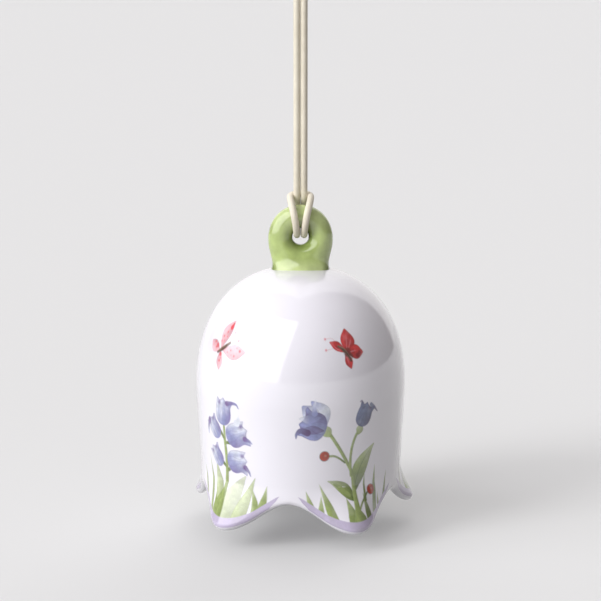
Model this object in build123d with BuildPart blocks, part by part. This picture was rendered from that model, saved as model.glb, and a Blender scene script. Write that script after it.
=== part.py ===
from build123d import *
import os
from math import cos, hypot, pi, sin, tan

# Hanging porcelain bell on a cord loop. Millimetres, +Z up.
# The origin is the middle of the cord's knot, from which everything hangs.
# The front of the bell faces -Y. Heights named *_up are above the petal tips.

os.makedirs("parts", exist_ok=True)

# Bell
body_radius = 30.8          # at the shoulder, the widest place
waist_narrowing = 1.3       # from the shoulder down to just above the petals
shoulder_up = 36.8
crown_up = 72.2
waist_up = 13.5             # the petals flare below this height
dome_fullness = 2.3         # 2 is an ellipse, more is squarer
wall = 2.6
crown_wall = 5.0            # thicker where the staple is let in
crown_disc_radius = 4.0     # flat middle of the crown, under the eyelet

# Petals
petal_count = 5
first_petal_deg = 29.5      # from the front towards +X
petal_rise = 7.7            # the saddles stand this much above the tips
petal_flare = 5.9           # outwards, at the middle of each petal
flare_power = 1.2
petal_fullness = 0.9
valley_power = 1.8
lip_radius = 1.6            # rounded edge of the rim

# Eyelet: a fat ring on a short neck
ring_rise = 8.8             # centre of the hole above the crown
ring_outer_radius = 9.3
ring_throat_radius = 2.3
foot_half_width = 8.5
foot_half_depth = 6.8
foot_embed = 0.5            # the neck's form starts this far under the crown
neck_half_width = 8.0

# Cord, its knot, and the space between things that rub
cord_diameter = 2.0
strand_pitch = 2.06         # between the two strands
bar_to_knot = 73.7          # from the middle of the eyelet's top bar to the knot
knot_radius = 4.1
knot_gap = 0.15
tail_reach = 9.0            # the cord's two ends stand up out of the knot
tail_lean_deg = 8.0

# Clapper and its hanging
wire_radius = 0.5
link_wire_radius = 0.45
rod_radius = 0.6
hang_gap = 0.1              # between wires that hang in each other
staple_half_width = 1.5
staple_drop = 4.0           # below the inside of the crown
staple_leg = 2.5            # length let into the cement
cement_cover = 0.5          # round the staple's legs
socket_depth = 3.0
link_radius = 2.2
rod_eye_radius = 1.7
ball_radius = 6.0
ball_flat = 0.2             # ground off each end of the ball's bore
ball_up = 18.0              # centre of the ball
bore_gap = 0.05             # rod to ball, on the radius
stop_radius = 1.3
stop_length = 2.0
rod_tail = 0.3              # rod end below the stop

# Sizes worked out from the above
waist_radius = body_radius - waist_narrowing
socket_radius = staple_half_width + wire_radius + cement_cover
ring_up = crown_up + ring_rise
ring_tube_radius = (ring_outer_radius - ring_throat_radius) / 2
ring_major_radius = (ring_outer_radius + ring_throat_radius) / 2
bar_up = ring_up + ring_major_radius
knot_up = bar_up + bar_to_knot


def at_height(up):
    """Height in the model's frame of a height above the petal tips."""
    return up - knot_up


# ---------------------------------------------------------------- bell shell
def petal_share(angle):
    """1 in the middle of a petal, 0 at the saddle between two petals."""
    return (1 + cos(petal_count * (angle - first_petal_deg * pi / 180))) / 2


def dome_height(radius):
    """Height of the dome's outside at a distance from the axis."""
    rise = (1 - (radius / body_radius) ** dome_fullness) ** (1 / dome_fullness)
    return shoulder_up + (crown_up - shoulder_up) * rise


def outer_radius(angle, up):
    """Outside of the bell: a dome, a slightly narrowing skirt, flared petals."""
    if up >= shoulder_up:
        rise = (up - shoulder_up) / (crown_up - shoulder_up)
        return body_radius * (1 - rise**dome_fullness) ** (1 / dome_fullness)
    drop = (shoulder_up - up) / (shoulder_up - waist_up)
    radius = body_radius - (body_radius - waist_radius) * min(drop, 1)
    if up < waist_up:
        flare = (waist_up - up) / waist_up
        radius += petal_flare * petal_share(angle) ** valley_power * flare**flare_power
    return radius


def outward(angle, up):
    """Unit normal of the outside, in the plane through the axis."""
    step = 0.05
    if up > crown_up - step:
        return 0.0, 1.0
    slope = (outer_radius(angle, up + step) - outer_radius(angle, up - step)) / (2 * step)
    length = hypot(1, slope)
    return 1 / length, -slope / length


def rim_height(angle):
    """Height at which the outside ends and the lip's rounding starts."""
    tip_up = 1.45 * lip_radius
    return tip_up + petal_rise * (1 - petal_share(angle) ** petal_fullness)


def section_point(angle, station):
    """A point of the wall's section: stations run down the outside, round the lip, up the inside."""
    side, place = station
    if side == "lip":
        up = rim_height(angle)
        radial, axial = outward(angle, up)
        radius = outer_radius(angle, up) - lip_radius * radial
        up -= lip_radius * axial
        turn_cos, turn_sin = cos(place), sin(place)
        radius += lip_radius * (turn_cos * radial + turn_sin * axial)
        up += lip_radius * (turn_cos * axial - turn_sin * radial)
    else:
        kind, share = place
        if kind == "dome":
            up = shoulder_up + (crown_top_up - shoulder_up) * share
            thickness = wall + (crown_wall - wall) * share**4
        else:
            up = shoulder_up - (shoulder_up - rim_height(angle)) * share
            thickness = wall + (2 * lip_radius - wall) * share**3
        radius = outer_radius(angle, up)
        if side == "inside":
            radial, axial = outward(angle, up)
            radius -= thickness * radial
            up -= thickness * axial
    return radius * sin(angle), -radius * cos(angle), at_height(up)


def ring_wire(station):
    """One closed line round the wall, wavy where the petals are."""
    count = 12 * petal_count
    points = [section_point(2 * pi * i / count, station) for i in range(count)]
    even_steps = [i / count for i in range(count + 1)]
    return Wire([Edge.make_spline(points, periodic=True, parameters=even_steps)])


crown_top_up = dome_height(crown_disc_radius)
crown_inside_up = crown_top_up - crown_wall

dome_places = [("dome", share) for share in (1, 0.985, 0.95, 0.88, 0.76, 0.6, 0.42, 0.22, 0)]
skirt_places = [("skirt", share) for share in (0.25, 0.5, 0.66, 0.76, 0.86, 0.93, 1)]
stations = [("outside", place) for place in dome_places + skirt_places]
stations += [("lip", turn * pi / 6) for turn in range(1, 6)]
stations += [("inside", place) for place in reversed(dome_places + skirt_places)]
wall_solid = Solid.make_loft([ring_wire(station) for station in stations])

upwards = (Align.CENTER, Align.CENTER, Align.MIN)

with BuildPart() as bell_shell:
    add(wall_solid)
    with Locations((0, 0, at_height(crown_inside_up))):
        Cylinder(socket_radius, socket_depth, align=upwards, mode=Mode.SUBTRACT)
bell_shell.part.label = "bell_shell"
export_step(bell_shell.part, "parts/bell_shell.step")

# ---------------------------------------------------------------- eyelet
neck_sections = [
    # height, half width, half depth
    (dome_height(foot_half_width) - foot_embed, foot_half_width, foot_half_depth),
    (dome_height(foot_half_width) + 0.4, foot_half_width, foot_half_depth),
    (crown_top_up + 1.6, neck_half_width, 0.72 * foot_half_depth),
    (crown_top_up + 3.6, 1.02 * neck_half_width, 1.1 * ring_tube_radius),
    (ring_up - 1.7 * ring_throat_radius, 0.88 * ring_outer_radius, 0.85 * ring_tube_radius),
]

# The crown's outside as a plain turned shape, which the foot is fitted to.
crown_points = []
for step in range(7):
    up = shoulder_up + (crown_top_up - shoulder_up) * (0.7 + 0.05 * step)
    crown_points.append((outer_radius(0, up), at_height(up)))

with BuildPart() as crown_form:
    with BuildSketch(Plane.XZ):
        with BuildLine():
            outside = Spline(crown_points)
            Polyline(outside @ 1, (0, (outside @ 1).Y), (0, (outside @ 0).Y), outside @ 0)
        make_face()
    revolve(axis=Axis.Z)

with BuildPart() as hanging_eyelet:
    for up, half_width, half_depth in neck_sections:
        with BuildSketch(Plane.XY.offset(at_height(up))):
            Ellipse(half_width, half_depth)
    loft()
    with Locations(Location((0, 0, at_height(ring_up)), (90, 0, 0))):
        Torus(ring_major_radius, ring_tube_radius)
        Cylinder(ring_throat_radius, 4 * ring_tube_radius, mode=Mode.SUBTRACT)
    add(crown_form.part, mode=Mode.SUBTRACT)
hanging_eyelet.part.label = "hanging_eyelet"
export_step(hanging_eyelet.part, "parts/hanging_eyelet.step")

# ---------------------------------------------------------------- cord and knot
# One cord, hitched round the eyelet's top bar: down behind the bar, forward through the hole,
# up the front, round behind its own two strands, and back the same way on the other side.
# Places are from the middle of the bar: across, back, up.
strand = strand_pitch / 2
right_half = [
    (strand, 0.0, bar_to_knot - knot_radius - knot_gap),
    (strand, 0.8, 6.1),
    (strand, 4.85, 2.0),
    (strand, 4.95, -2.2),
    (strand, 2.2, -5.35),
    (strand, -2.2, -5.35),
    (1.3, -4.95, -2.2),
    (1.9, -5.0, 1.3),
    (2.6, -3.6, 3.9),
    (3.0, 0.0, 5.3),
    (2.95, 3.0, 5.7),
    (1.5, 4.6, 6.0),
]
left_half = [(-across, back, up) for across, back, up in reversed(right_half)]
cord_route = []
for across, back, up in right_half + left_half:
    cord_route.append(Vector(across, back, at_height(bar_up + up)))


def corner_radii(route):
    """Arcs as large as the two runs at each corner allow."""
    radii = []
    for before, corner, after in zip(route, route[1:], route[2:]):
        run_in, run_out = corner - before, after - corner
        half_turn = run_in.get_angle(run_out) / 2 * pi / 180
        radii.append(0.45 * min(run_in.length, run_out.length) / tan(half_turn))
    return radii


cord_radii = corner_radii(cord_route)
with BuildPart() as hanging_cord:
    with BuildLine():
        cord_line = FilletPolyline(*cord_route, radius=cord_radii)
    with BuildSketch(Plane(cord_line @ 0, z_dir=cord_line % 0)):
        Circle(cord_diameter / 2)
    sweep()
hanging_cord.part.label = "hanging_cord"
export_step(hanging_cord.part, "parts/hanging_cord.step")

cord_length = cord_line.length
section = pi * cord_diameter**2 / 4
print("cord radii", [round(radius, 2) for radius in cord_radii])
print(f"cord length {cord_length:.1f}, section times length {section * cord_length:.1f}")
print(f"cord volume {hanging_cord.part.volume:.1f}")

with BuildPart() as cord_knot:
    Sphere(knot_radius)
    for side in (-1, 1):
        with Locations(Location((side * strand, 0, 0), (0, side * tail_lean_deg, 0))):
            Cylinder(cord_diameter / 2, tail_reach, align=upwards)
cord_knot.part.label = "cord_knot"
export_step(cord_knot.part, "parts/cord_knot.step")

# ---------------------------------------------------------------- clapper's hanging
staple_turn_up = crown_inside_up - staple_drop + staple_half_width
link_top_up = crown_inside_up - staple_drop + wire_radius + link_wire_radius + hang_gap
link_up = link_top_up - link_radius
rod_eye_top_up = link_up - link_radius + link_wire_radius + rod_radius + hang_gap
rod_eye_up = rod_eye_top_up - rod_eye_radius

with BuildPart() as crown_staple:
    with BuildLine(Plane.XZ) as staple_line:
        leg_top = at_height(crown_inside_up + staple_leg)
        turn = at_height(staple_turn_up)
        Line((-staple_half_width, leg_top), (-staple_half_width, turn))
        RadiusArc((-staple_half_width, turn), (staple_half_width, turn), -staple_half_width)
        Line((staple_half_width, turn), (staple_half_width, leg_top))
    with BuildSketch(Plane(staple_line.line @ 0, z_dir=staple_line.line % 0)):
        Circle(wire_radius)
    sweep()
crown_staple.part.label = "crown_staple"
export_step(crown_staple.part, "parts/crown_staple.step")

with BuildPart() as crown_cement:
    with Locations((0, 0, at_height(crown_inside_up))):
        Cylinder(socket_radius, socket_depth, align=upwards)
    for across in (-staple_half_width, staple_half_width):
        with Locations((across, 0, at_height(crown_inside_up))):
            Cylinder(wire_radius, staple_leg, align=upwards, mode=Mode.SUBTRACT)
crown_cement.part.label = "crown_cement"
export_step(crown_cement.part, "parts/crown_cement.step")

with BuildPart() as clapper_link:
    with Locations(Location((0, 0, at_height(link_up)), (0, 90, 0))):
        Torus(link_radius, link_wire_radius)
clapper_link.part.label = "clapper_link"
export_step(clapper_link.part, "parts/clapper_link.step")

# ---------------------------------------------------------------- clapper
ball_half = ball_radius - ball_flat
stop_top_up = ball_up - ball_half
rod_end_up = stop_top_up - stop_length - rod_tail
rod_top_up = rod_eye_up - rod_eye_radius

with BuildPart() as clapper_rod:
    with Locations(Location((0, 0, at_height(rod_eye_up)), (90, 0, 0))):
        Torus(rod_eye_radius, rod_radius)
    with BuildSketch(Plane.XY.offset(at_height(rod_end_up))):
        Circle(rod_radius)
    extrude(amount=rod_top_up - rod_end_up)
clapper_rod.part.label = "clapper_rod"
export_step(clapper_rod.part, "parts/clapper_rod.step")

with BuildPart() as clapper_ball:
    with Locations((0, 0, at_height(ball_up))):
        Sphere(ball_radius)
        Box(2 * ball_radius, 2 * ball_radius, 2 * ball_half, mode=Mode.INTERSECT)
        Cylinder(rod_radius + bore_gap, 2 * ball_radius, mode=Mode.SUBTRACT)
clapper_ball.part.label = "clapper_ball"
export_step(clapper_ball.part, "parts/clapper_ball.step")

with BuildPart() as clapper_stop:
    with BuildSketch(Plane.XY.offset(at_height(stop_top_up - stop_length))):
        Circle(stop_radius)
        Circle(rod_radius, mode=Mode.SUBTRACT)
    extrude(amount=stop_length)
    outer_edges = clapper_stop.edges().filter_by(GeomType.CIRCLE).sort_by(SortBy.RADIUS)[-2:]
    fillet(outer_edges, 0.4)
clapper_stop.part.label = "clapper_stop"
export_step(clapper_stop.part, "parts/clapper_stop.step")
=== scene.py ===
from math import cos, hypot, pi, radians, sin

import bmesh
import bpy
import numpy as np
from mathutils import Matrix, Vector


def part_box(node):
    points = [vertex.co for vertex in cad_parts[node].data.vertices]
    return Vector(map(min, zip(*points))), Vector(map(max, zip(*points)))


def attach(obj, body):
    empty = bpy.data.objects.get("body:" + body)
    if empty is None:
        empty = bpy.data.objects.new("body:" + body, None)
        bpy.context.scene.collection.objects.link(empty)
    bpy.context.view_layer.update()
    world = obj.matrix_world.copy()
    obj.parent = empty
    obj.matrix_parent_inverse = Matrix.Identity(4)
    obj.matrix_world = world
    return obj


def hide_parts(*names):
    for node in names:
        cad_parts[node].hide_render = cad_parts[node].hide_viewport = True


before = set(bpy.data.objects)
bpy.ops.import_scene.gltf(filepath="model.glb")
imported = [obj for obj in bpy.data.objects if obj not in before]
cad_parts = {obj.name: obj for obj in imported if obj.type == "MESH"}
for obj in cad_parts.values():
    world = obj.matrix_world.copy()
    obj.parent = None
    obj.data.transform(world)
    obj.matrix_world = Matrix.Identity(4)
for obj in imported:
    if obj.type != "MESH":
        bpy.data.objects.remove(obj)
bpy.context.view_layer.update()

# Hanging porcelain bell on a cord loop. Blender works in metres, and the sizes below are in
# millimetres, as in the CAD model. The front of the bell faces -Y. Heights named *_up are above
# the petal tips, and angles are from the front towards +X.
MM = 0.001
tips_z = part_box("bell_shell")[0].z / MM
eyelet_top_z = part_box("hanging_eyelet")[1].z / MM

# Bell, with the CAD model's sizes
body_radius = 30.8
waist_narrowing = 1.3
shoulder_up = 36.8
crown_up = 72.2
waist_up = 13.5
dome_fullness = 2.3
wall = 2.6
crown_wall = 5.0
crown_disc_radius = 4.0
petal_count = 5
first_petal = radians(29.5)
petal_rise = 7.7
petal_flare = 5.9
flare_power = 1.2
petal_fullness = 0.9
valley_power = 1.8
lip_radius = 1.6
socket_radius = 2.5
socket_depth = 3.0

# Eyelet
ring_rise = 8.8
ring_outer_radius = 9.3
ring_throat_radius = 2.3
ring_tube_radius = (ring_outer_radius - ring_throat_radius) / 2
ring_major_radius = (ring_outer_radius + ring_throat_radius) / 2
ring_up = crown_up + ring_rise

scene = bpy.context.scene
scene.view_settings.view_transform = "Standard"

# ---------------- camera
camera_distance = 500.0
camera_elevation = radians(10.2)
target_up = 62.0
camera_data = bpy.data.cameras.new("camera")
camera_data.sensor_width = 36.0
camera_data.lens = 102.43
camera_data.clip_start = 0.01
camera_data.clip_end = 200.0
camera = bpy.data.objects.new("camera", camera_data)
scene.collection.objects.link(camera)
camera.location = (
    0.0,
    -camera_distance * cos(camera_elevation) * MM,
    (tips_z + target_up + camera_distance * sin(camera_elevation)) * MM,
)
camera.rotation_euler = (pi / 2 - camera_elevation, 0.0, 0.0)
scene.camera = camera


# ---------------- helpers
def linear(red, green, blue):
    """Linear colour of a display colour given from 0 to 255."""
    display = np.array([red, green, blue]) / 255
    return np.where(display <= 0.04045, display / 12.92, ((display + 0.055) / 1.055) ** 2.4)


def new_material(name):
    """A new node material, its tree, and its Principled shader."""
    material = bpy.data.materials.new(name)
    material.use_nodes = True
    tree = material.node_tree
    return material, tree, tree.nodes["Principled BSDF"]


def feed(tree, made, inputs):
    """Sets or links a node's inputs."""
    for key, value in inputs.items():
        if isinstance(value, bpy.types.NodeSocket):
            tree.links.new(value, made.inputs[key])
        else:
            made.inputs[key].default_value = value


def node(tree, kind, inputs, **settings):
    """A new node, with its settings and its inputs set or linked."""
    made = tree.nodes.new(kind)
    for key, value in settings.items():
        setattr(made, key, value)
    feed(tree, made, inputs)
    return made


def noise(tree, scale, detail=2.0, vector=None):
    """Cloudy values that lie still on a piece."""
    place = vector or node(tree, "ShaderNodeTexCoord", {}).outputs["Object"]
    inputs = {"Vector": place, "Scale": scale, "Detail": detail}
    return node(tree, "ShaderNodeTexNoise", inputs).outputs["Fac"]


def stretched(tree, value, low, high, to_low=0.0, to_high=1.0, **settings):
    """A value moved from one range to another, and kept inside it."""
    inputs = {"Value": value, "From Min": low, "From Max": high,
              "To Min": to_low, "To Max": to_high}
    return node(tree, "ShaderNodeMapRange", inputs, **settings).outputs[0]


def mixed(tree, share, first, second):
    """A colour between two."""
    made = node(tree, "ShaderNodeMix", {"Factor": share}, data_type="RGBA")
    feed(tree, made, {"A": first, "B": second})
    return made.outputs["Result"]


def scaled(tree, first, second, kind="ShaderNodeMath"):
    """The product of two values, or of a colour and a value."""
    return node(tree, kind, {0: first, 1: second}, operation="MULTIPLY").outputs[0]


def bumped(tree, height, strength, distance):
    """A normal for fine relief, with its depth in metres."""
    inputs = {"Height": height, "Strength": strength, "Distance": distance}
    return node(tree, "ShaderNodeBump", inputs).outputs[0]


def mesh_object(name, points, faces, material=None):
    """A smooth mesh piece from points in millimetres."""
    mesh = bpy.data.meshes.new(name)
    mesh.from_pydata((np.asarray(points) * MM).tolist(), [], [list(face) for face in faces])
    mesh.update()
    mesh.shade_smooth()
    made = bpy.data.objects.new(name, mesh)
    scene.collection.objects.link(made)
    if material:
        mesh.materials.append(material)
    return made


def set_colours(piece, colours):
    """Gives a piece's points their linear colours."""
    attribute = piece.data.color_attributes.new("paint", "FLOAT_COLOR", "POINT")
    values = np.ones((len(colours), 4))
    values[:, :3] = colours
    attribute.data.foreach_set("color", values.ravel())


def net_faces(rows, columns):
    """Quads of a net of points, row after row, closed around."""
    faces = []
    for row in range(rows - 1):
        for column in range(columns):
            following = (column + 1) % columns
            start, below = row * columns, (row + 1) * columns
            faces.append((start + column, below + column, below + following, start + following))
    return faces


# ---------------- cord
# The route is the CAD model's, with one point more on the straight run. It is in metres from the
# middle of the eyelet's top bar: across, back, up. The other half is its mirror image.
cord_diameter = 2.0
bar_z = eyelet_top_z - ring_tube_radius
right_half = [
    (0.00103, 0.0, 0.06945),
    (0.00103, 0.0, 0.0300),
    (0.00103, 0.0008, 0.0061),
    (0.00103, 0.00485, 0.0020),
    (0.00103, 0.00495, -0.0022),
    (0.00103, 0.0022, -0.00535),
    (0.00103, -0.0022, -0.00535),
    (0.0013, -0.00495, -0.0022),
    (0.0019, -0.0050, 0.0013),
    (0.0026, -0.0036, 0.0039),
    (0.0030, 0.0, 0.0053),
    (0.00295, 0.0030, 0.0057),
    (0.0015, 0.0046, 0.0060),
]
left_half = [(-across, back, up) for across, back, up in reversed(right_half)]


def nurbs_line(data, route, radii=None):
    """Adds a smooth open line through the space near its control points, in metres."""
    spline = data.splines.new("NURBS")
    spline.points.add(len(route) - 1)
    for index, (x, y, z) in enumerate(route):
        spline.points[index].co = (x, y, z, 1.0)
        spline.points[index].radius = radii[index] if radii else 1.0
    spline.order_u = 3
    spline.use_endpoint_u = True
    spline.resolution_u = 14


def cord_curve(name):
    """A round cord's curve object, without its lines."""
    data = bpy.data.curves.new(name, "CURVE")
    data.dimensions = "3D"
    data.bevel_depth = cord_diameter / 2 * MM
    data.bevel_resolution = 6
    data.use_fill_caps = True
    made = bpy.data.objects.new(name, data)
    scene.collection.objects.link(made)
    return made


cord = cord_curve("cord_loop")
cord_route = [(across, back, bar_z * MM + up) for across, back, up in right_half + left_half]
nurbs_line(cord.data, cord_route)

# The knot: three turns wound round the two strands, whose ends stand up out of it.
knot = cord_curve("barrel_knot")
wind_radius = 3.05
wind_height = 4.1
wind_turns = 3.25
wind_start = 0.1            # in turns
tucked_radius = 0.9         # where the winding's ends go into the knot
turn_points = []
for step in range(33):
    share = step / 32
    angle = 2 * pi * (wind_turns * share + wind_start)
    height = wind_height * (share - 0.5)
    reach = (wind_radius**2 - height**2) ** 0.5
    tuck = min(1.0, min(share, 1 - share) / 0.08)
    radius = tucked_radius + (reach - tucked_radius) * tuck**0.6
    turn_points.append((radius * sin(angle) * MM, -radius * cos(angle) * MM, height * MM))
nurbs_line(knot.data, turn_points)
# Each strand: across, up, and the cord's thickness there, which rounds the cut end.
strand = [(1.03, -3.65, 1), (1.03, 0, 1), (1.1, 3.4, 1), (1.55, 6.2, 1), (1.95, 8.0, 1),
          (2.05, 8.4, 0.9), (2.1, 8.65, 0.6), (2.12, 8.75, 0.1)]
for side in (-1, 1):
    route = [(side * across * MM, 0.0, up * MM) for across, up, _ in strand]
    nurbs_line(knot.data, route, [thickness for _, _, thickness in strand])


# ---------------- the bell's shape
def petal_share(angle):
    """1 in the middle of a petal, 0 at the saddle between two petals."""
    return (1 + np.cos(petal_count * (angle - first_petal))) / 2


def dome_height(radius):
    """Height of the dome's outside at a distance from the axis."""
    rise = (1 - (radius / body_radius) ** dome_fullness) ** (1 / dome_fullness)
    return shoulder_up + (crown_up - shoulder_up) * rise


def outer_radius(angle, up):
    """Outside of the bell: a dome, a slightly narrowing skirt, flared petals."""
    rise = np.clip((up - shoulder_up) / (crown_up - shoulder_up), 0, 1)
    dome = body_radius * (1 - rise**dome_fullness) ** (1 / dome_fullness)
    drop = np.clip((shoulder_up - up) / (shoulder_up - waist_up), 0, 1)
    flare = np.clip((waist_up - up) / waist_up, 0, None)
    petals = petal_flare * petal_share(angle) ** valley_power * flare**flare_power
    return dome - waist_narrowing * drop + petals


def outward(angle, up):
    """Unit normal of the outside, in the plane through the axis."""
    step = 0.05
    near = np.minimum(up, crown_up - 0.1)
    slope = (outer_radius(angle, near + step) - outer_radius(angle, near - step)) / (2 * step)
    length = np.hypot(1, slope)
    return 1 / length, -slope / length


def rim_height(angle):
    """Height at which the outside ends and the lip's rounding starts."""
    return 1.45 * lip_radius + petal_rise * (1 - petal_share(angle) ** petal_fullness)


def glaze_points(angle, up, lift=0.0):
    """Points on the outside, in millimetres. Below the rim, up runs on round the lip."""
    rim = rim_height(angle)
    top = np.maximum(up, rim)
    turn = np.clip(rim - up, 0, None) / lip_radius
    radial, axial = outward(angle, top)
    lip_radial = np.cos(turn) * radial + np.sin(turn) * axial
    lip_axial = np.cos(turn) * axial - np.sin(turn) * radial
    radius = outer_radius(angle, top) - lip_radius * radial + (lip_radius + lift) * lip_radial
    height = top - lip_radius * axial + (lip_radius + lift) * lip_axial
    return np.stack([radius * np.sin(angle), -radius * np.cos(angle), height + tips_z], -1)


def inside_points(angle, up, thickness):
    """Points on the inside, as far from the outside as the wall is thick."""
    radial, axial = outward(angle, up)
    radius = outer_radius(angle, up) - thickness * radial
    height = up - thickness * axial
    return np.stack([radius * np.sin(angle), -radius * np.cos(angle), height + tips_z], -1)


def bell_mesh(material):
    """The bell's wall as one closed skin: outside, lip, inside and the staple's socket."""
    columns = 360
    around = np.linspace(0, 2 * pi, columns, endpoint=False)
    rim = rim_height(around)
    crown_top = dome_height(crown_disc_radius)
    crown_inside = crown_top - crown_wall
    dome_shares = np.sin(np.linspace(pi / 2, 0, 44))
    skirt_shares = np.linspace(0, 1, 49)[1:] ** 0.9
    dome_ups = [np.full(columns, shoulder_up + (crown_top - shoulder_up) * share)
                for share in dome_shares]
    rows = [glaze_points(around, up) for up in dome_ups]
    for share in skirt_shares:
        rows.append(glaze_points(around, shoulder_up - (shoulder_up - rim) * share))
    for turn in np.linspace(0, pi, 13)[1:-1]:
        rows.append(glaze_points(around, rim - lip_radius * turn))
    for share in skirt_shares[::-1]:
        thickness = wall + (2 * lip_radius - wall) * share**3
        rows.append(inside_points(around, shoulder_up - (shoulder_up - rim) * share, thickness))
    for share, up in list(zip(dome_shares, dome_ups))[::-1]:
        rows.append(inside_points(around, up, wall + (crown_wall - wall) * share**4))
    for up in (crown_inside, crown_inside + socket_depth):
        ring = [socket_radius * np.sin(around), -socket_radius * np.cos(around),
                np.full(columns, up + tips_z)]
        rows.append(np.stack(ring, -1))
    faces = net_faces(len(rows), columns)
    last = (len(rows) - 1) * columns
    middle = [(0, 0, crown_top + tips_z), (0, 0, crown_inside + socket_depth + tips_z)]
    points = np.concatenate([*rows, middle])
    for step in range(columns):
        following = (step + 1) % columns
        faces.append((len(points) - 2, step, following))
        faces.append((len(points) - 1, last + following, last + step))
    made = mesh_object("porcelain_bell", points, faces, material)
    made.data.set_sharp_from_angle(angle=radians(50))
    return made


# ---------------- materials
glaze_colour = linear(238, 236, 243)


def glazed(tree, shader, colour, ripple_scale, ripple, roughness, coat_roughness, ior=1.5):
    """A colour under a clear, glossy, slightly uneven glaze."""
    feed(tree, shader, {
        "Base Color": colour, "Normal": bumped(tree, noise(tree, ripple_scale), ripple, 0.0004),
        "Roughness": roughness, "IOR": ior,
        "Coat Weight": 1.0, "Coat Roughness": coat_roughness, "Coat IOR": 1.6,
    })


def glaze_material(name, painted=False):
    """White porcelain under a clear glaze, with paint where painted."""
    material, tree, shader = new_material(name)
    cloud = stretched(tree, noise(tree, 60.0, 3.0), 0.3, 0.7, 0.975, 1.0)
    place = node(tree, "ShaderNodeTexCoord", {}).outputs["Object"]
    specks = node(tree, "ShaderNodeTexVoronoi", {"Vector": place, "Scale": 330.0})
    shade = scaled(tree, cloud, stretched(tree, specks.outputs["Distance"], 0.02, 0.06, 0.93, 1.0))
    if painted:
        base = node(tree, "ShaderNodeAttribute", {}, attribute_name="paint").outputs["Color"]
        shade = scaled(tree, shade, stretched(tree, noise(tree, 2600.0), 0.3, 0.7, 0.97, 1.03))
    else:
        base = node(tree, "ShaderNodeRGB", {}).outputs[0]
        base.default_value = (*glaze_colour, 1)
    colour = scaled(tree, base, shade, "ShaderNodeVectorMath")
    glazed(tree, shader, colour, 90.0, 0.06, 0.07, 0.01)
    return material


def green_material():
    """Green glaze: the tone, with its painted shade and highlights, comes with the piece, and is
    mottled here.
    """
    material, tree, shader = new_material("green_glaze")
    tone = node(tree, "ShaderNodeAttribute", {}, attribute_name="paint").outputs["Color"]
    shade = stretched(tree, noise(tree, 260.0, 3.0), 0.3, 0.7, 0.82, 1.1)
    colour = scaled(tree, tone, shade, "ShaderNodeVectorMath")
    glazed(tree, shader, colour, 180.0, 0.1, 0.1, 0.02, 1.52)
    return material


def cord_material():
    """Smooth cream satin cord with fine twisted fibres."""
    material, tree, shader = new_material("cream_cord")
    place = node(tree, "ShaderNodeTexCoord", {}).outputs["Object"]
    drawn_out = node(tree, "ShaderNodeMapping", {"Vector": place, "Scale": (1.0, 1.0, 0.18)})
    fibres = noise(tree, 4200.0, 3.0, drawn_out.outputs[0])
    both = node(tree, "ShaderNodeMath", {0: fibres, 1: noise(tree, 120.0)}, operation="ADD")
    feed(tree, shader, {
        "Base Color": mixed(tree, stretched(tree, both.outputs[0], 0.7, 1.3),
                            (*linear(216, 208, 188), 1), (*linear(230, 223, 205), 1)),
        "Normal": bumped(tree, fibres, 0.25, 0.00005), "Roughness": 0.6, "Sheen Weight": 0.15,
    })
    return material


def wire_material():
    """Drawn brass wire, a little tarnished."""
    material, tree, shader = new_material("brass_wire")
    cloud = noise(tree, 700.0, 4.0)
    feed(tree, shader, {
        "Base Color": mixed(tree, cloud, (*linear(150, 112, 60), 1), (*linear(222, 190, 122), 1)),
        "Roughness": stretched(tree, cloud, 0.0, 1.0, 0.22, 0.45), "Metallic": 1.0,
    })
    return material


def cement_material():
    """Gritty off-white cement."""
    material, tree, shader = new_material("cement")
    grit = noise(tree, 2500.0, 5.0)
    feed(tree, shader, {
        "Base Color": mixed(tree, grit, (*linear(176, 170, 160), 1), (*linear(224, 220, 212), 1)),
        "Normal": bumped(tree, grit, 0.6, 0.0001), "Roughness": 0.9,
    })
    return material


white_glaze = glaze_material("white_glaze")
painted_glaze = glaze_material("painted_glaze", painted=True)
cream_cord = cord_material()
brass_wire = wire_material()
cement = cement_material()
green_glaze = green_material()

bell = bell_mesh(white_glaze)


# ---------------- eyelet
def smooth_least(first, second, round_size):
    """The lesser of two distances, rounded where they are close."""
    share = np.clip(0.5 + 0.5 * (second - first) / round_size, 0, 1)
    return second + (first - second) * share - round_size * share * (1 - share)


crown_top_up = dome_height(crown_disc_radius)
neck_sunk = 2.2             # the neck goes on this far into the crown
neck_form_rows = 5          # of the neck's heights, below the ring
# The neck's half width and half depth at heights above the petal tips
neck_ups = np.array([69.0, 71.0, 72.0, 73.2, 75.1, 76.7, 78.2, 81.0])
neck_widths = np.array([8.8, 8.7, 8.35, 8.2, 8.55, 8.5, 8.35, 7.3])
neck_depths = np.array([6.8, 6.6, 5.9, 5.0, 4.0, 3.6, 3.2, 3.0])


def neck_size(up, values):
    """A size of the neck along the height, without corners where its runs meet."""
    shifts = np.linspace(-0.8, 0.8, 9)
    return sum(np.interp(up + shift, neck_ups, values) for shift in shifts) / len(shifts)


def eyelet_distance(points):
    """Signed distance, roughly, to the ring and its neck, in millimetres."""
    x, y, up = points[:, 0], points[:, 1], points[:, 2] - tips_z
    ring = np.hypot(np.hypot(x, up - ring_up) - ring_major_radius, y) - ring_tube_radius
    width = neck_size(up, neck_widths)
    depth = neck_size(up, neck_depths)
    neck = (np.hypot(x / width, y / depth) - 1) * np.minimum(width, depth)
    neck_top = ring_up - 1.6 * ring_throat_radius + 4.0 * (x / ring_outer_radius) ** 2
    neck = -smooth_least(-neck, neck_top - up, 1.2)
    both = smooth_least(ring, neck, 1.6)
    return np.maximum(both, crown_top_up - neck_sunk - up)


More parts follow.
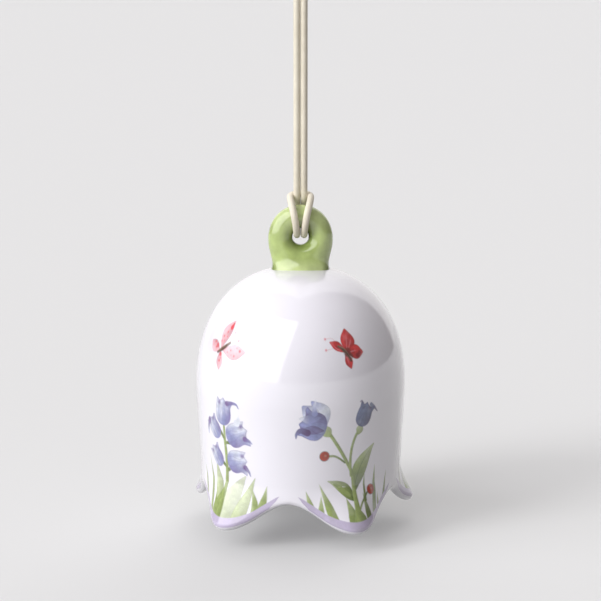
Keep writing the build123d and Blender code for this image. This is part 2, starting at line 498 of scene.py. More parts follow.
def eyelet_mesh(material):
    """Ring and neck as one rounded form: a coarse skin, drawn onto the exact distance."""
    columns, tube_columns = 64, 32
    ring_points = []
    for row in range(columns + 1):
        around = 2 * pi * row / columns
        for step in range(tube_columns):
            turn = 2 * pi * step / tube_columns
            reach = ring_major_radius + ring_tube_radius * cos(turn)
            ring_points.append((reach * sin(around), ring_tube_radius * sin(turn),
                                ring_up + tips_z + reach * cos(around)))
    ring = mesh_object("ring_form", ring_points, net_faces(columns + 1, tube_columns))
    neck_points = []
    for up, width, depth in list(zip(neck_ups, neck_widths, neck_depths))[:neck_form_rows]:
        for step in range(columns):
            angle = 2 * pi * step / columns
            neck_points.append((width * sin(angle), -depth * cos(angle), up + tips_z))
    neck_faces = net_faces(neck_form_rows, columns)
    neck_faces.append(tuple(range(columns)))
    neck_faces.append(tuple(range(len(neck_points) - 1, len(neck_points) - columns - 1, -1)))
    neck = mesh_object("neck_form", neck_points, neck_faces)
    form = bmesh.new()
    for part in (ring, neck):
        form.from_mesh(part.data)
    bmesh.ops.recalc_face_normals(form, faces=form.faces)
    mesh = bpy.data.meshes.new("eyelet")
    form.to_mesh(mesh)
    form.free()
    for part in (ring, neck):
        bpy.data.objects.remove(part)
    made = bpy.data.objects.new("glazed_eyelet", mesh)
    scene.collection.objects.link(made)
    skin = made.modifiers.new("skin", "REMESH")
    skin.mode = "VOXEL"
    skin.voxel_size = 0.3 * MM
    evaluated = made.evaluated_get(bpy.context.evaluated_depsgraph_get())
    skinned = bpy.data.meshes.new_from_object(evaluated)
    made.modifiers.clear()
    made.data = skinned
    flat = np.empty(3 * len(skinned.vertices))
    skinned.vertices.foreach_get("co", flat)
    points = flat.reshape(-1, 3) / MM
    probe, longest_move = 0.02, 0.4
    for _ in range(6):
        value = eyelet_distance(points)
        slope = np.empty_like(points)
        for axis, step in enumerate(np.eye(3) * probe):
            rise = eyelet_distance(points + step) - eyelet_distance(points - step)
            slope[:, axis] = rise / (2 * probe)
        size = np.maximum((slope**2).sum(1), 0.2)
        points = points - np.clip(value / size, -longest_move, longest_move)[:, None] * slope
    skinned.vertices.foreach_set("co", (points * MM).ravel())
    skinned.update()
    skinned.shade_smooth()
    skinned.materials.clear()
    skinned.materials.append(material)
    return made, points


def eyelet_tones(points):
    """The green glaze's colours: painted shade deep in the hole and at the foot's corners, painted
    highlights light at both ends.
    """
    light, mid, deep = linear(196, 210, 148), linear(170, 188, 112), linear(116, 134, 66)
    x, up = points[:, 0], points[:, 2] - tips_z
    # Painted shade in the hole, where the glaze also pools; painted highlights towards the foot and
    # the ring's top; painted shade at the foot's corners.
    hole_shade_and_pool = np.clip((5.4 - np.hypot(x, up - ring_up)) / 3.0, 0, 1)
    foot = np.clip((crown_top_up + 3.0 - up) / 3.0, 0, 1)
    crown = np.clip((up - ring_up - 1.0) / 5.0, 0, 1)
    corner = foot * np.clip((np.abs(x) - 6.3) / 1.6, 0, 1)
    tone = mid
    layers = ((deep, hole_shade_and_pool**1.2), (light, foot * 0.8), (light, crown * 0.7), (deep, corner))
    for colour, share in layers:
        tone = tone + (colour - tone) * share[:, None]
    return tone


eyelet, eyelet_points = eyelet_mesh(green_glaze)
set_colours(eyelet, eyelet_tones(eyelet_points))


# ---------------- paint
# The decoration is thin enamel on the glaze. Its places are degrees round the bell from the front
# and heights above the petal tips, and a canvas can be turned round the bell. Widths are in
# millimetres. Colours and widths given as a list run along the brush's way.
paper_radius = 30.8         # degrees become millimetres at this radius
paint_step = 0.19           # between the points of a painted patch
lip_reach = 1.5             # paint goes this far round the lip
brush_softness = 0.22       # width of a brush mark's edge
film_proud = 0.035
film_sunk = 0.03
spray_top = 40.5
half_petal = 36.0           # degrees

WHITE = glaze_colour
SKY = linear(220, 224, 234)
BLUEBELL = linear(134, 140, 186)
VIOLET = linear(112, 88, 142)
PLUM = linear(80, 54, 104)
SLATE = linear(94, 106, 142)
PALE_LEAF = linear(188, 198, 158)
LEAF = linear(146, 162, 98)
DARK_LEAF = linear(88, 106, 54)
LILAC = linear(198, 189, 213)
DEEP_LILAC = linear(166, 150, 184)
BLUSH = linear(232, 180, 188)
CORAL = linear(220, 70, 80)
RED = linear(196, 60, 60)
MAROON = linear(110, 26, 38)
BERRY = linear(178, 56, 28)
DARK_BERRY = linear(78, 24, 16)
STRAW = linear(146, 118, 100)
BROWN = linear(84, 60, 52)


def mottle(across, up, size, seed):
    """Soft random values from 0 to 1, in spots of about this size."""
    cells, shift = 61, 500
    table = np.random.default_rng(seed).random((cells, cells))
    x, y = across / size + shift, up / size + shift
    column, row = np.floor(x).astype(int), np.floor(y).astype(int)
    share_x, share_y = x - column, y - row
    share_x, share_y = share_x**2 * (3 - 2 * share_x), share_y**2 * (3 - 2 * share_y)
    low, high = (table[line % cells, column % cells] * (1 - share_x)
                 + table[line % cells, (column + 1) % cells] * share_x for line in (row, row + 1))
    return low * (1 - share_y) + high * share_y


def smooth_line(points, closed=False, steps=8):
    """A smooth line through the points."""
    if closed:
        around = np.concatenate([points[-1:], points, points[:2]])
    else:
        before, after = 2 * points[:1] - points[1:2], 2 * points[-1:] - points[-2:-1]
        around = np.concatenate([before, points, after])
    line = []
    for first, second, third, fourth in zip(around, around[1:], around[2:], around[3:]):
        for share in np.arange(steps) / steps:
            bend = (2 * first - 5 * second + 4 * third - fourth) * share**2
            swing = (3 * second - first - 3 * third + fourth) * share**3
            line.append((2 * second + (third - first) * share + bend + swing) / 2)
    line.append(line[0] if closed else points[-1])
    return np.array(line)


def nearest(across, up, line):
    """For each point: its distance to a line, how far along that is, and the signed side."""
    best = np.full(across.shape, 1e9)
    along = np.zeros(across.shape)
    side = np.zeros(across.shape)
    runs = np.diff(line, axis=0)
    sizes = np.hypot(runs[:, 0], runs[:, 1])
    before = np.concatenate([[0], np.cumsum(sizes)])
    for start, run, size, so_far in zip(line, runs, sizes, before):
        if size < 1e-6:
            continue
        gap_x, gap_y = across - start[0], up - start[1]
        share = np.clip((gap_x * run[0] + gap_y * run[1]) / size**2, 0, 1)
        distance = np.hypot(gap_x - share * run[0], gap_y - share * run[1])
        nearer = distance < best
        best[nearer] = distance[nearer]
        along[nearer] = (so_far + share[nearer] * size) / before[-1]
        side[nearer] = (run[0] * gap_y - run[1] * gap_x)[nearer] / size
    return best, along, side


def within(across, up, line):
    """Whether each point is inside a closed line."""
    inside = np.zeros(across.shape, bool)
    for start, end in zip(line, line[1:]):
        crosses = (start[1] > up) != (end[1] > up)
        rise = end[1] - start[1] if abs(end[1] - start[1]) > 1e-9 else 1e-9
        inside ^= crosses & (across < start[0] + (end[0] - start[0]) * (up - start[1]) / rise)
    return inside


def tones(colours, share):
    """The colour at each share along a row of colours."""
    places = np.linspace(0, 1, len(colours))
    return np.stack([np.interp(share, places, [colour[channel] for colour in colours])
                     for channel in range(3)], -1)


def ease(value, low, high):
    """0 below low, 1 above high, smooth between."""
    share = np.clip((value - low) / (high - low), 0, 1)
    return share**2 * (3 - 2 * share)


class Canvas:
    """A patch of enamel: a fine net of points over the glaze, each with a colour and a cover."""

    def __init__(self, name, turn, left, right, top, bottom=0.0):
        self.name = name
        self.turn = turn
        self.columns = int(radians(right - left) * paper_radius / paint_step) + 1
        angle = np.radians(np.linspace(left + turn, right + turn, self.columns))
        low = np.maximum(rim_height(angle) - lip_reach, bottom)
        self.rows = int((top - low.min()) / paint_step) + 1
        share = np.linspace(0, 1, self.rows)[:, None]
        self.up = (top + (low - top) * share).ravel()
        self.angle = np.broadcast_to(angle, (self.rows, self.columns)).ravel()
        self.across = self.angle * paper_radius
        self.colour = np.tile(WHITE, (len(self.up), 1))
        self.cover = np.zeros(len(self.up))
        self.seed = 0

    def paper(self, places):
        """Places (degrees, height) as millimetres across and up."""
        places = np.asarray(places, float)
        return np.stack([np.radians(places[:, 0] + self.turn) * paper_radius, places[:, 1]], -1)

    def window(self, line, margin):
        """The canvas points in a box round a line."""
        left, low = line.min(0) - margin
        right, high = line.max(0) + margin
        return np.nonzero((self.across > left) & (self.across < right)
                          & (self.up > low) & (self.up < high))[0]

    def lay(self, which, mask, colour, rough=1.0):
        """Lays colour on points, as thick as the mask says, with a watercolour's unevenness."""
        self.seed += 1
        across, up = self.across[which], self.up[which]
        uneven = 1 + rough * 0.22 * (mottle(across, up, 0.9, self.seed) - 0.5)
        grain = 1 + rough * 0.12 * (mottle(across, up, 0.3, self.seed + 500) - 0.5)
        mask = np.clip(mask * (0.9 + 0.2 * mottle(across, up, 1.6, self.seed + 900)), 0, 1)[:, None]
        tone = np.clip(colour * (uneven * grain)[:, None], 0, 1)
        self.colour[which] += (tone - self.colour[which]) * mask
        self.cover[which] = np.maximum(self.cover[which], mask[:, 0])

    def brush(self, points, widths, colours, shade=0.0, soft=brush_softness, strength=1.0):
        """A brush stroke through points in millimetres, with widths and colours along it."""
        line = smooth_line(points)
        which = self.window(line, max(widths) / 2 + soft)
        distance, along, side = nearest(self.across[which], self.up[which], line)
        half = np.interp(along, np.linspace(0, 1, len(widths)), widths) / 2
        mask = np.clip((half - distance) / soft + 0.5, 0, 1) * strength
        lean = np.clip(side / np.maximum(half, 0.05), -1, 1)
        self.lay(which, mask, tones(colours, along) * (1 + shade * lean)[:, None])

    def stroke(self, places, *looks, **more_looks):
        """A brush stroke through places."""
        self.brush(self.paper(places), *looks, **more_looks)

    def shape(self, line, colour_of, strength=1.0):
        """Fills a closed line. colour_of takes across, up and depth inside the line."""
        which = self.window(line, brush_softness)
        across, up = self.across[which], self.up[which]
        distance, _, _ = nearest(across, up, line)
        depth = np.where(within(across, up, line), distance, -distance)
        mask = np.clip(depth / brush_softness + 0.5, 0, 1) * strength
        self.lay(which, mask, colour_of(across, up, depth))

    def blot(self, place, radius, colour, strength=1.0, soft=0.3):
        """A round dab."""
        middle = self.paper([place])[0]
        which = self.window(np.array([middle]), radius + soft)
        distance = np.hypot(self.across[which] - middle[0], self.up[which] - middle[1])
        mask = np.clip((radius - distance) / soft + 0.5, 0, 1) * strength
        self.lay(which, mask, np.tile(colour, (len(which), 1)))

    def leaf(self, base, tip, width, colours, bend=0.0, power=0.8, vein=None, strength=1.0):
        """A leaf, blade or wing from base to tip: widest nearer the base when power is under 1."""
        start, end = self.paper([base, tip])
        run = end - start
        across = np.array([-run[1], run[0]]) / hypot(*run)
        shares = np.linspace(0, 1, 9)
        rib = [start + run * share + across * bend * 4 * share * (1 - share) for share in shares]
        half_widths = [width / 2 * sin(pi * share**power) for share in shares]
        edge = [(middle, across * half) for middle, half in zip(rib, half_widths)]
        outline = [middle + out for middle, out in edge]
        outline += [middle - out for middle, out in edge[-2:0:-1]]
        line = smooth_line(np.array(outline), closed=True, steps=3)
        rib_line = smooth_line(np.array(rib), steps=3)

        def colour_of(x, y, depth):
            _, along, side = nearest(x, y, rib_line)
            tone = tones(colours, along)
            tone = tone * (1 + 0.16 * np.clip(side / (0.3 * width), -1, 1))[:, None]
            rim = ease(0.28 - depth, 0.0, 0.28)[:, None]
            return tone * (1 - 0.22 * rim)

        self.shape(line, colour_of, strength=strength)
        if vein is not None:
            self.brush(np.array(rib[:-1]), [0.28, 0.2, 0.05], [vein], soft=0.18, strength=0.75)

    def bluebell(self, base, mouth, half_width, pale, body, deep, tip_lean=0.0):
        """A bell flower seen from the side, from its calyx to its flared mouth."""
        start, end = self.paper([base, mouth])
        run = end - start
        length = hypot(*run)
        along_axis = run / length
        side_axis = np.array([-along_axis[1], along_axis[0]])
        form = [(0, 0), (0.04, 0.5), (0.2, 0.92), (0.45, 1.06), (0.7, 1.02), (0.86, 0.96),
                (0.98, 0.98), (1.1, 0.94), (1.04, 0.74), (1.0, 0.56), (1.04, 0.36), (1.12, 0.14),
                (1.05, -0.08), (0.99, -0.34), (0.98, -0.66), (1.04, -0.98), (1.0, -1.24),
                (0.9, -1.14), (0.74, -1.0), (0.45, -1.06), (0.2, -0.9), (0.04, -0.45)]
        outline = []
        for along, aside in form:
            aside += tip_lean * max(along - 0.8, 0)
            outline.append(start + along_axis * along * length + side_axis * aside * half_width)
        line = smooth_line(np.array(outline), closed=True, steps=4)

        def colour_of(x, y, depth):
            gap_x, gap_y = x - start[0], y - start[1]
            along = (gap_x * along_axis[0] + gap_y * along_axis[1]) / length
            aside = (gap_x * side_axis[0] + gap_y * side_axis[1]) / half_width
            light = ease(along + 0.4 * aside + 0.3 * (mottle(x, y, 1.4, 7) - 0.5), 0.1, 1.0)
            tone = body + (pale - body) * light[:, None]
            rib = 0.5 + 0.5 * np.cos(aside * (1 + 0.25 * along) * 2.4 * pi + 1.2)
            tone = tone + (body - tone) * (0.5 * rib)[:, None]
            low = ease(-aside, -0.1, 1.1) * ease(1.1 - along, 0.0, 0.8)
            tone = tone + (deep - tone) * (0.6 * low)[:, None]
            rim = ease(0.5 - depth, 0.0, 0.5)
            tone = tone + (deep - tone) * (0.5 * rim * (0.5 + 0.5 * along))[:, None]
            near = ((along - 0.9) / 0.1) ** 2
            fold = sum(np.exp(-near - ((aside - middle) / width) ** 2)
                       for middle, width in ((0.5, 0.22), (-0.5, 0.3)))
            return tone + (deep - tone) * (0.8 * np.clip(fold, 0, 1))[:, None]

        self.shape(line, colour_of)
        for aside in (-0.45, 0.1, 0.5):
            points = []
            for along in (0.08, 0.35, 0.65, 0.92):
                out = aside * half_width * sin(pi * min(along + 0.25, 0.85))
                points.append(start + along_axis * along * length + side_axis * out)
            self.brush(np.array(points), [0.12, 0.3, 0.1], [deep, body], soft=0.25, strength=0.4)

    def berry(self, place, radius):
        """A small round fruit with a dark eye."""
        self.blot(place, radius, DARK_BERRY, 0.9)
        self.blot(place, radius - 0.18, BERRY)
        self.blot((place[0] + 0.4, place[1] + 0.05), 0.62 * radius, DARK_BERRY, 0.45)
        self.blot((place[0] + 0.3, place[1] + 0.05), 0.4 * radius, BERRY)
        self.blot((place[0] + 0.5, place[1] + 0.1), 0.2 * radius, STRAW, 0.8)

    def hem(self, petal):
        """The lilac crescent along a petal's rim, pointed at both ends."""
        share = petal_share(self.angle)
        own = np.abs(np.degrees(self.angle) - petal) < 35.5
        rim = rim_height(self.angle)
        places = [0.03, 0.05, 0.1, 0.22, 0.6, 1]
        top = rim + np.interp(share, places, [1.7, 1.7, 1.6, 1.3, 1.0, 1.5])
        low = rim + np.interp(share, places, [2.6, 1.7, 0.5, -0.7, -1.2, -1.2])
        below = own & (self.up < low + 0.2)
        self.cover[below] = 0
        self.colour[below] = WHITE
        depth = np.minimum(top - self.up, self.up - low)
        which = np.nonzero(own & (depth > -0.3))[0]
        mask = np.clip(depth[which] / 0.2 + 0.5, 0, 1)
        lower = ease(low[which] + 0.5 - self.up[which], 0.0, 0.5)[:, None]
        tone = LILAC + (DEEP_LILAC - LILAC) * (0.25 + 0.4 * lower)
        self.lay(which, mask, tone, 0.3)

    def piece(self):
        """The finished patch: a thin closed film that lies on the glaze."""
        wet = (self.cover > 0.015).reshape(self.rows, self.columns)
        cells = wet[:-1, :-1] | wet[1:, :-1] | wet[:-1, 1:] | wet[1:, 1:]
        row, column = np.nonzero(cells)
        corner = row * self.columns + column
        quads = np.stack([corner, corner + self.columns, corner + self.columns + 1, corner + 1], -1)
        used, flat = np.unique(quads, return_inverse=True)
        quads = flat.reshape(-1, 4)
        count = len(used)
        edges = np.concatenate([quads[:, [a, (a + 1) % 4]] for a in range(4)])
        there, back = edges @ [count, 1], edges @ [1, count]
        rim = edges[~np.isin(there, back)]
        sides = np.stack([rim[:, 1], rim[:, 0], rim[:, 0] + count, rim[:, 1] + count], -1)
        faces = np.concatenate([quads, quads[:, ::-1] + count, sides])
        angle, up = self.angle[used], self.up[used]
        points = np.concatenate([glaze_points(angle, up, film_proud),
                                 glaze_points(angle, up, -film_sunk)])
        made = mesh_object(self.name, points, faces.tolist(), painted_glaze)
        made.data.set_sharp_from_angle(angle=radians(40))
        set_colours(made, np.concatenate([self.colour[used]] * 2))
        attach(made, "bell")


def grass(canvas, blades, dark=0.0):
    """Blades of grass: (base, tip, width, bend in degrees)."""
    green = LEAF + (DARK_LEAF - LEAF) * dark
    pale = PALE_LEAF + (LEAF - PALE_LEAF) * dark
    for base, tip, width, bend in blades:
        middle = ((base[0] + tip[0]) / 2 + bend, (base[1] + tip[1]) / 2)
        canvas.stroke([base, middle, tip], [width, 0.75 * width, 0.08], [green, green, pale], 0.14)


def five_bell_spray(canvas):
    """A tall stem with five bluebells, broad leaves and grass."""
    grass(canvas, [
        ((-63.8, 8.0), (-67.9, 16.4), 1.1, 0.3), ((-52.2, 3.0), (-60.1, 19.5), 1.7, -0.6),
        ((-50.4, 3.0), (-53.7, 19.2), 1.6, 1.0), ((-25.4, 4.8), (-27.6, 12.9), 2.4, 1.0),
        ((-23.4, 5.4), (-18.7, 13.8), 2.6, 0.6),
    ])
    light = [LEAF, PALE_LEAF, PALE_LEAF]
    canvas.leaf((-44.3, 5.0), (-53.4, 18.5), 3.4, light, 0.7, 0.9)
    canvas.leaf((-42.0, 1.6), (-31.2, 16.2), 6.4, light, 1.5, 0.68, strength=0.8)
    canvas.leaf((-35.5, 0.6), (-25.4, 16.0), 3.8, light, 0.5, 0.6)
    canvas.leaf((-47.3, 0.8), (-44.3, 13.2), 4.4, [LEAF], 0.7, 0.6, DARK_LEAF)
    stem = [(-45.6, 30.6), (-45.3, 25.7), (-44.8, 22.5), (-44.5, 17.7), (-45.0, 13.5),
            (-45.3, 10.5), (-45.8, 4.6)]
    canvas.stroke(stem, [0.8, 1.1, 1.25, 1.5, 1.9], [LEAF], -0.25)
    for calyx in (
        [(-45.2, 25.6), (-48.0, 27.6), (-50.8, 28.6)],
        [(-45.0, 24.6), (-43.6, 25.0), (-40.4, 25.2)],
        [(-44.6, 17.6), (-46.8, 18.6), (-48.8, 19.4)],
        [(-44.6, 16.6), (-43.4, 16.9), (-41.6, 17.8)],
    ):
        canvas.stroke(calyx, [0.8, 1.0, 1.3], [LEAF, DARK_LEAF, LEAF], 0.1)
    for base, mouth, half_width, lean in (
        ((-46.2, 29.9), (-45.4, 37.2), 2.95, -0.5), ((-49.6, 26.0), (-57.2, 30.9), 2.3, 0.0),
        ((-48.4, 17.8), (-55.6, 22.6), 2.2, 0.0), ((-43.6, 26.2), (-31.0, 29.2), 3.4, -0.3),
        ((-43.8, 19.4), (-31.6, 20.4), 3.2, -0.4),
    ):
        canvas.bluebell(base, mouth, half_width, SKY, BLUEBELL, VIOLET, lean)
    for hook in (
        [(-42.4, 36.6), (-38.8, 36.9), (-36.0, 36.7), (-34.6, 35.7)],
        [(-31.2, 27.0), (-28.6, 26.6), (-26.9, 25.9)],
        [(-31.4, 18.6), (-29.2, 17.4), (-28.3, 16.3)],
        [(-58.4, 30.4), (-59.9, 28.4), (-60.1, 26.2)],
    ):
        canvas.stroke(hook, [1.5, 0.9, 0.3], [VIOLET, BLUEBELL], strength=0.9)
    canvas.stroke([(-36.0, 31.4), (-35.0, 32.2), (-34.9, 33.4)], [2.2, 1.3, 0.2], [SKY])


def two_bell_spray(canvas):
    """Two long stems with a wide and a slim bluebell, two berries, two leaves and grass."""
    grass(canvas, [
        ((6.8, 4.2), (2.9, 12.8), 2.5, 0.6), ((10.4, 3.0), (11.2, 11.4), 2.3, 0.3),
        ((19.6, 1.0), (10.3, 14.7), 2.9, 0.6),
    ])
    grass(canvas, [
        ((27.6, 0.6), (25.0, 10.4), 3.6, 1.0), ((31.6, 0.6), (29.6, 8.6), 5.0, 0.4),
    ], 0.25)
    grass(canvas, [
        ((37.6, 1.0), (35.8, 11.0), 2.6, 0.2), ((41.4, 2.6), (45.0, 18.4), 2.1, 1.2),
        ((36.9, 9.0), (37.4, 17.2), 0.9, 0.2), ((46.7, 4.0), (47.2, 10.2), 1.2, 0.0),
        ((51.0, 4.8), (55.9, 15.4), 1.5, 0.4),
    ], 0.7)
    fading = [DARK_LEAF, LEAF, PALE_LEAF]
    canvas.leaf((29.8, 9.4), (14.6, 15.6), 3.4, fading, -1.1, 0.72, DARK_LEAF)
    canvas.leaf((31.0, 12.0), (43.8, 25.0), 5.0, fading, 1.5, 0.8, DARK_LEAF)
    canvas.stroke([(30.6, 2.6), (30.5, 9.1), (30.3, 14.2), (28.9, 17.5), (25.9, 20.6), (20.6, 25.4),
                   (14.6, 30.2)], [2.2, 1.4, 1.05, 1.0, 0.95], [LEAF], 0.25)
    canvas.stroke([(28.6, 16.6), (27.9, 20.6), (28.4, 24.2), (30.1, 27.3), (32.4, 29.6)],
                  [0.9, 0.85, 0.8], [LEAF], 0.25)
    canvas.stroke([(24.6, 20.6), (21.6, 21.9), (18.4, 22.8), (15.2, 22.9)], [0.5, 0.6, 0.7],
                  [DARK_LEAF, LEAF], 0.1)
    canvas.stroke([(31.4, 6.6), (34.4, 8.6), (38.9, 10.9)], [0.6, 0.55], [LEAF, DARK_LEAF])
    canvas.leaf((16.2, 28.6), (11.0, 32.0), 3.1, [LEAF, PALE_LEAF], 0.0, 0.9)
    canvas.leaf((32.2, 28.3), (34.2, 31.6), 2.4, [LEAF, PALE_LEAF], 0.0, 0.9)
    canvas.stroke([(27.2, 11.0), (22.4, 13.2), (18.4, 14.5)], [1.0, 1.3, 0.4], [LEAF])
    dusk = BLUEBELL * 0.8
    canvas.blot((7.4, 34.6), 2.3, BLUEBELL)
    canvas.leaf((13.2, 31.4), (5.6, 39.2), 5.2, [BLUEBELL, SKY, BLUEBELL * 1.2], -0.9, 0.95)
    canvas.leaf((11.4, 33.0), (0.8, 37.8), 4.6, [BLUEBELL, SKY, BLUEBELL], 0.2, 1.15)
    canvas.bluebell((13.6, 30.8), (1.0, 32.9), 3.9, BLUEBELL * 1.25, dusk, PLUM)
    canvas.leaf((11.0, 34.4), (-1.0, 34.2), 2.6, [dusk, BLUEBELL, SKY], 0.4, 1.0, strength=0.7)
    canvas.leaf((12.6, 30.4), (0.0, 30.6), 2.6, [PLUM, PLUM, dusk], -0.3, 1.0, strength=0.6)
    canvas.stroke([(3.6, 30.0), (0.2, 30.6), (-2.0, 29.6), (-2.4, 28.4)], [2.0, 1.5, 0.3],
                  [PLUM, dusk], strength=0.95)
    canvas.stroke([(7.4, 35.6), (7.2, 37.6), (8.2, 39.6)], [1.7, 1.0, 0.1], [BLUEBELL, SKY])
    canvas.bluebell((33.6, 30.6), (37.8, 36.6), 2.5, SLATE * 1.35, SLATE * 0.9, PLUM * 0.8)
    for hook in (
        [(34.9, 36.6), (33.9, 38.0), (32.9, 37.8)],
        [(40.2, 36.6), (42.6, 35.6), (45.0, 34.2)],
    ):
        canvas.stroke(hook, [1.1, 0.8, 0.2], [SLATE, PLUM], strength=0.9)
    canvas.berry((12.9, 23.0), 1.5)
    canvas.berry((41.8, 11.5), 1.5)


def butterfly(canvas, body, wings, wing_colours, dots, antennae):
    """Wings (root, tip, width, bend in millimetres), dots (degrees, height, radius, colour,
    strength), a short body and two feelers."""
    for root, tip, width, bend in wings:
        canvas.leaf(root, tip, width, wing_colours, bend, 1.25)
    for degrees, up, radius, colour, strength in dots:
        canvas.blot((degrees, up), radius, colour, strength, 0.35)
    for line in antennae:
        canvas.stroke(line, [0.1, 0.16], wing_colours[-1:], strength=0.35)
        canvas.blot(line[-1], 0.34, CORAL, 0.6)
    canvas.stroke(body, [0.5, 0.95, 0.8, 0.6], [STRAW])
    shaded = [(degrees + 0.4, up - 0.28) for degrees, up in body]
    canvas.stroke(shaded, [0.3, 0.7, 0.7, 0.4], [BROWN], soft=0.4, strength=0.85)
    for degrees, up in body:
        canvas.blot((degrees, up - 0.1), 0.35, BROWN, 0.55)


def pale_butterfly(name, turn):
    """A blush butterfly with coral dots."""
    canvas = Canvas(name, turn, -64, -29, 61.5, 44.0)
    wings = [((-50.4, 51.0), (-45.2, 59.4), 4.0, 1.0), ((-50.5, 51.6), (-32.2, 51.6), 4.2, -0.5),
             ((-50.6, 50.8), (-61.2, 53.2), 3.2, 0.3), ((-50.6, 51.4), (-50.0, 45.6), 2.5, -0.1)]
    dots = [
        (-46.4, 57.6, 0.7, 0.95), (-46.0, 58.4, 0.4, 0.9), (-50.8, 55.0, 0.3, 0.7),
        (-48.6, 56.2, 0.32, 0.6), (-51.8, 53.6, 0.3, 0.6), (-49.6, 53.8, 0.25, 0.5),
        (-36.0, 51.7, 0.42, 0.85), (-39.6, 50.2, 0.3, 0.7), (-42.6, 51.6, 0.22, 0.8),
        (-38.4, 52.4, 0.2, 0.7), (-48.0, 55.0, 0.22, 0.7), (-45.0, 50.9, 0.3, 0.5),
        (-41.8, 50.4, 0.25, 0.4), (-54.4, 52.2, 0.7, 0.7), (-57.2, 53.0, 0.35, 0.7),
        (-55.6, 51.6, 0.3, 0.6), (-50.4, 50.0, 0.6, 0.8), (-50.6, 48.2, 0.4, 0.6),
        (-49.8, 49.0, 0.3, 0.5),
    ]
    body = [(-53.2, 50.5), (-49.6, 51.7), (-46.6, 52.8), (-44.4, 53.6)]
    antennae = [[(-44.6, 53.8), (-44.0, 55.4), (-42.2, 56.4)],
                [(-44.2, 53.6), (-41.0, 53.6), (-38.2, 54.4)]]
    coral_dots = [(degrees, up, radius, CORAL, strength) for degrees, up, radius, strength in dots]
    butterfly(canvas, body, wings, [BLUSH], coral_dots, antennae)
    canvas.piece()


def red_butterfly(name, turn):
    """A red butterfly with pale streaks and maroon patches."""
    canvas = Canvas(name, turn, 11, 40, 60.5, 45.0)
    wings = [((25.6, 51.2), (27.8, 58.2), 4.9, -0.8), ((26.0, 51.8), (37.2, 51.6), 4.0, 0.2),
             ((26.6, 51.6), (16.8, 55.0), 2.5, -0.3), ((25.4, 52.2), (28.4, 47.4), 2.5, 0.1)]
    dots = [
        (27.0, 52.0, 1.3, BROWN, 0.55), (28.8, 50.8, 0.8, BROWN, 0.6),
        (27.6, 54.6, 0.9, MAROON, 0.3), (33.4, 50.9, 0.7, MAROON, 0.65),
        (34.8, 51.6, 0.5, MAROON, 0.6), (20.6, 53.5, 0.45, MAROON, 0.5),
        (30.6, 52.0, 0.5, MAROON, 0.35), (27.2, 49.4, 0.5, CORAL, 0.5),
    ]
    body = [(21.8, 53.8), (24.4, 52.9), (26.6, 51.6), (28.4, 49.8)]
    antennae = [[(21.6, 54.0), (18.6, 55.9), (14.4, 55.8)],
                [(21.4, 53.8), (18.0, 53.2), (14.4, 52.9)]]
    butterfly(canvas, body, wings, [MAROON, RED, RED, RED], dots, antennae)
    for streak in (
        [(27.0, 53.2), (27.6, 55.4), (28.2, 57.2)], [(28.2, 53.2), (30.0, 54.8), (30.8, 56.0)],
        [(29.0, 52.0), (31.6, 52.2), (33.8, 52.2)], [(22.8, 52.6), (20.6, 53.2), (18.6, 54.4)],
        [(26.0, 50.8), (26.8, 49.6), (27.2, 48.6)],
    ):
        canvas.stroke(streak, [0.1, 0.3, 0.12], [BLUSH, CORAL], soft=0.3, strength=0.55)
    canvas.piece()


for name, spray, petal, turn in (
    ("paint_front_left", five_bell_spray, -42.5, 0),
    ("paint_front_right", two_bell_spray, 29.5, 0),
    ("paint_right", five_bell_spray, -42.5, 144),
    ("paint_back", two_bell_spray, 29.5, 144),
    ("paint_left", two_bell_spray, 29.5, 216),
):
    patch = Canvas(name, turn, petal - half_petal, petal + half_petal, spray_top)
    spray(patch)
    patch.hem(petal + turn)
    patch.piece()
pale_butterfly("butterfly_front_left", 0)
red_butterfly("butterfly_front_right", 0)
red_butterfly("butterfly_back_right", 108)
pale_butterfly("butterfly_back", 216)
red_butterfly("butterfly_back_left", -144)


# ---------------- floor, lights, backdrop
floor_gap = 5.9
floor_reach = 60000
floor_z = tips_z - floor_gap
floor_corners = [(-floor_reach, -floor_reach, floor_z), (floor_reach, -floor_reach, floor_z),
                 (floor_reach, floor_reach, floor_z), (-floor_reach, floor_reach, floor_z)]
floor_material, floor_tree, floor_shader = new_material("studio_floor")
# The floor sends back less soft light than it shows, as a floor further away would.
soft_ray = node(floor_tree, "ShaderNodeLightPath", {}).outputs["Is Diffuse Ray"]
feed(floor_tree, floor_shader, {
    "Base Color": mixed(floor_tree, soft_ray, (0.56, 0.56, 0.56, 1), (0.06, 0.06, 0.06, 1)),
    "Emission Color": (1, 1, 1, 1), "Emission Strength": 0.185,
    "Roughness": 0.9, "Specular IOR Level": 0.0,
})
floor = mesh_object("floor", floor_corners, [(0, 1, 2, 3)], floor_material)

for name, energy, spread, towards in (
    ("back_light", 0.5, 50, (0.35, 0.75, 0.55)),
    ("key_light", 1.5, 22, (-0.72, -0.5, 0.42)),
    ("fill_light", 0.3, 60, (0.15, -0.9, 0.3)),
):
    lamp = bpy.data.lights.new(name, "SUN")
    lamp.energy = energy
    lamp.angle = radians(spread)
    lamp_object = bpy.data.objects.new(name, lamp)
    scene.collection.objects.link(lamp_object)
    lamp_object.rotation_euler = Vector(towards).to_track_quat("Z", "Y").to_euler()
    lamp_object.visible_glossy = False


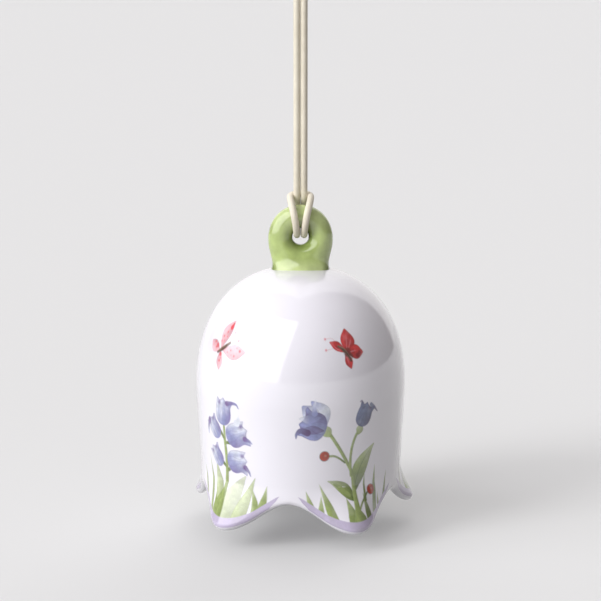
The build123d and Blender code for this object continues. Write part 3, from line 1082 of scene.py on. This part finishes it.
def studio_world():
    """A soft room painted by direction: a large softbox front left, a bright wall behind,
    and a dim front right. The camera itself sees one plain tone."""
    world = bpy.data.worlds.new("studio")
    scene.world = world
    world.use_nodes = True
    tree = world.node_tree
    tree.nodes.clear()
    softbox_light, dim_light = (2.3, 2.28, 2.36, 1), (0.25, 0.232, 0.226, 1)
    wall_light, backdrop_tone = (0.95, 0.93, 0.93, 1), (0.787, 0.787, 0.787, 1)
    direction = node(tree, "ShaderNodeTexCoord", {}).outputs["Generated"]
    parts = node(tree, "ShaderNodeSeparateXYZ", {0: direction})

    def maths(operation, first, second=0.0):
        return node(tree, "ShaderNodeMath", {0: first, 1: second}, operation=operation).outputs[0]

    def edge(value, low, high):
        """0 below low, 1 above high, smooth between."""
        return stretched(tree, value, low, high, interpolation_type="SMOOTHSTEP")

    front = maths("MULTIPLY", parts.outputs["Y"], -1.0)
    azimuth = maths("ARCTAN2", parts.outputs["X"], front)
    elevation = maths("ARCSINE", parts.outputs["Z"])
    lean = maths("MULTIPLY", elevation, 0.35)
    across = maths("SUBTRACT", azimuth, lean)
    left_side = edge(azimuth, radians(-98), radians(-92))
    right_side = edge(across, radians(-22), radians(-27))
    low_side = edge(elevation, radians(-1), radians(1))
    high_side = edge(elevation, radians(60), radians(56))
    box = scaled(tree, scaled(tree, left_side, right_side), scaled(tree, low_side, high_side))
    level = maths("SQRT", maths("SUBTRACT", 1.0, maths("POWER", parts.outputs["Z"], 2.0)))
    back_ratio = maths("DIVIDE", parts.outputs["Y"], maths("MAXIMUM", level, 0.001))
    back = edge(back_ratio, 0.66, 0.74)
    lit = mixed(tree, box, mixed(tree, back, dim_light, wall_light), softbox_light)
    room = node(tree, "ShaderNodeBackground", {"Color": lit})
    plain = node(tree, "ShaderNodeBackground", {"Color": backdrop_tone})
    seen = node(tree, "ShaderNodeLightPath", {}).outputs["Is Camera Ray"]
    both = node(tree, "ShaderNodeMixShader", {0: seen, 1: room.outputs[0], 2: plain.outputs[0]})
    node(tree, "ShaderNodeOutputWorld", {"Surface": both.outputs[0]})


studio_world()

# ---------------- bodies, and materials for the CAD parts' slots
cord.data.materials.append(cream_cord)
knot.data.materials.append(cream_cord)
for piece, body, replaced, slot in (
    (bell, "bell", "bell_shell", "white_glaze"),
    (eyelet, "bell", "hanging_eyelet", "green_glaze"),
    (cord, "cord", "hanging_cord", "cord"),
    (knot, "knot", "cord_knot", "cord"),
):
    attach(piece, body)
    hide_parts(replaced)
for name, material in (
    ("crown_staple", brass_wire),
    ("clapper_link", brass_wire),
    ("clapper_rod", brass_wire),
    ("clapper_stop", brass_wire),
    ("crown_cement", cement),
    ("clapper_ball", white_glaze),
):
    for material_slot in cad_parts[name].material_slots:
        material_slot.material = material
